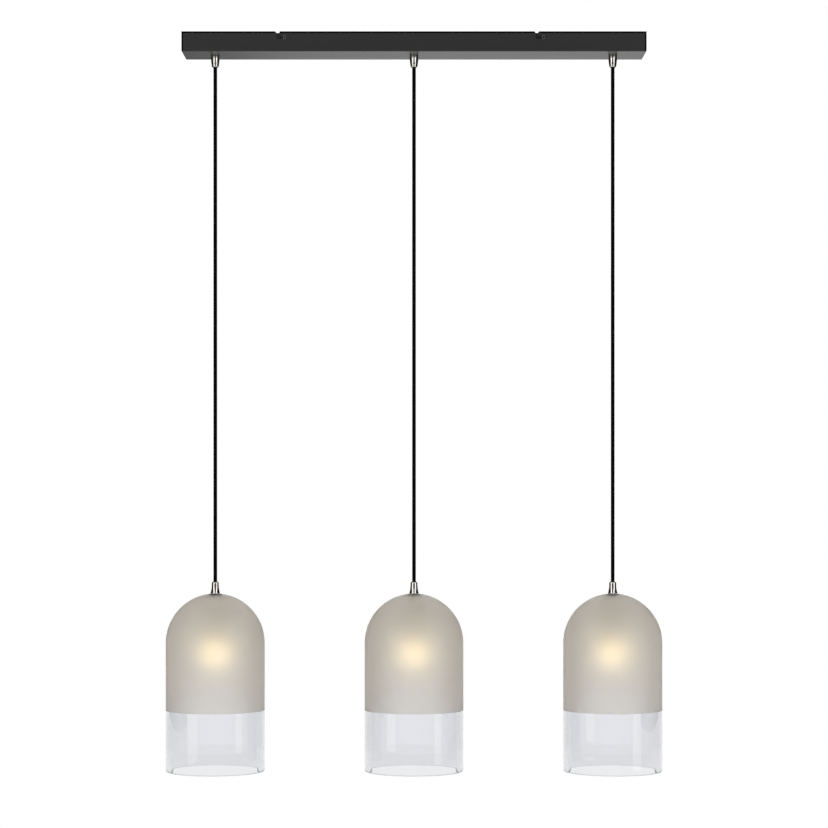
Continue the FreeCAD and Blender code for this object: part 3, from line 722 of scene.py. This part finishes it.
# Two tall soft boxes light the shades and two nearer to the camera light the bar, in a white surround.
# The black cards show only in reflections.
studio = {
    "floorZ": -1.9,
    "floorRadius": 4.4,
    "floorCorners": 96,
    "floorTone": (0.86, 0.86, 0.86, 1),
    "floorRough": 0.9,
    "fade": (0.8, 0.9),     # from this radius, up to this share of the floor's, it turns plain white
    "fadeLeast": 0.35,      # the share of white in the middle
    "cardTone": (0.01, 0.01, 0.01, 1),
    "ambient": 0.62,        # the world's strength for light that falls on the object
    "boxAway": 2.5,         # of each soft box from the middle pendant
    "boxes": {              # degrees to the camera's right, width, lowest and highest z, radiance
        "left": (-54, 1.0, -1.35, -0.34, 1.2),
        "right": (57, 0.8, -1.38, -0.34, 1.35),
        "leftTop": (-32, 1.1, -0.32, 0.35, 1.2),
        "rightTop": (33, 1.1, -0.32, 0.35, 1.15),
    },
    "cards": {              # the corners of each card as seen from above, and its lowest and highest z
        "left": ([(-1.8, -0.8), (-1.8, 2.0), (-0.5, 4.2)], (-1.2, 1.0)),
        "right": ([(1.8, -0.8), (1.8, 2.0), (1.2, 4.2)], (-1.2, 1.0)),
        "leftTop": ([(-2.2, -1.3), (-1.8, -0.8)], (-0.3, 1.0)),
        "rightTop": ([(2.1, -1.5), (1.8, -0.8)], (-0.3, 1.0)),
        "front": ([(-1.9, -4.6), (1.9, -4.6)], (-1.25, 1.3)),
    },
}


def seenDirectly(tree):
    # 1 for camera, mirror and glass rays, 0 for the rays that gather light
    rays = tree.nodes.new("ShaderNodeLightPath").outputs
    seen = sums(tree, "MAXIMUM", rays["Is Camera Ray"], rays["Is Glossy Ray"])
    return sums(tree, "MAXIMUM", seen, rays["Is Transmission Ray"])


def makeWorld(s):
    world = bpy.data.worlds.new("studio")
    world.use_nodes = True
    scene.world = world
    tree = world.node_tree
    tree.nodes["Background"].inputs["Color"].default_value = (1, 1, 1, 1)
    join(tree, between(tree, seenDirectly(tree), s["ambient"], 1.0),
         tree.nodes["Background"].inputs["Strength"])


def blendShaders(tree, factor, first, second):
    node = tree.nodes.new("ShaderNodeMixShader")
    for socket, value in zip(node.inputs, (factor, first, second)):
        join(tree, value, socket)
    return node.outputs[0]


def makeFloor(s):
    # a pale disc that keeps the shadow near the middle and fades to plain white at its edge
    corners = s["floorCorners"]
    turn = np.linspace(0, 2 * math.pi, corners, endpoint=False)
    ring = np.stack([np.cos(turn), np.sin(turn), np.zeros(corners)], -1)
    rim = ring * s["floorRadius"] + [0, 0, s["floorZ"]]
    mesh = bpy.data.meshes.new("floor")
    mesh.from_pydata(rim.tolist(), [], [list(range(corners))])
    floor = bpy.data.objects.new("floor", mesh)
    scene.collection.objects.link(floor)
    material, tree, _ = newMaterial("floor", {"Base Color": s["floorTone"], "Roughness": s["floorRough"]})
    x, y, _ = partsOf(tree, objectPlace(tree))
    start, share = s["fade"]
    faded = step(tree, distance(tree, x, y), start, share * s["floorRadius"])
    fade = between(tree, faded, s["fadeLeast"], 1.0)
    white = tree.nodes.new("ShaderNodeEmission").outputs[0]
    lit = blendShaders(tree, sums(tree, "MULTIPLY", fade, seenDirectly(tree)),
                       tree.nodes["Principled BSDF"].outputs[0], white)
    # from below it is see-through, so that the object's underside can be looked at
    below = tree.nodes.new("ShaderNodeNewGeometry").outputs["Backfacing"]
    clear = tree.nodes.new("ShaderNodeBsdfTransparent").outputs[0]
    join(tree, blendShaders(tree, below, lit, clear), tree.nodes["Material Output"].inputs["Surface"])
    mesh.materials.append(material)


def makeSoftBox(s, side):
    degrees, width, low, high, radiance = s["boxes"][side]
    turn = math.radians(degrees)
    light = bpy.data.lights.new(f"softBox_{side}", "AREA")
    light.shape = "RECTANGLE"
    light.size, light.size_y = width, high - low
    light.energy = radiance * math.pi * light.size * light.size_y
    lamp = bpy.data.objects.new(f"softBox_{side}", light)
    lamp.location = (s["boxAway"] * math.sin(turn), -s["boxAway"] * math.cos(turn), (high + low) / 2)
    lamp.rotation_euler = (math.pi / 2, 0, turn)
    lamp.visible_camera = False
    lamp.visible_transmission = False
    scene.collection.objects.link(lamp)


def makeCard(s, side):
    corners, (low, high) = s["cards"][side]
    points = [(x, y, z) for x, y in corners for z in (low, high)]
    faces = [(2 * k, 2 * k + 2, 2 * k + 3, 2 * k + 1) for k in range(len(corners) - 1)]
    mesh = bpy.data.meshes.new(f"card_{side}")
    mesh.from_pydata(points, [], faces)
    card = bpy.data.objects.new(f"card_{side}", mesh)
    scene.collection.objects.link(card)
    material, _, _ = newMaterial(f"card_{side}", {"Base Color": s["cardTone"], "Roughness": 1.0,
                                                  "Specular IOR Level": 0.0})
    mesh.materials.append(material)
    card.visible_camera = card.visible_transmission = False
    card.visible_diffuse = card.visible_shadow = False


makeWorld(studio)
makeFloor(studio)
for side in studio["boxes"]:
    makeSoftBox(studio, side)
for side in studio["cards"]:
    makeCard(studio, side)
print("studio set")
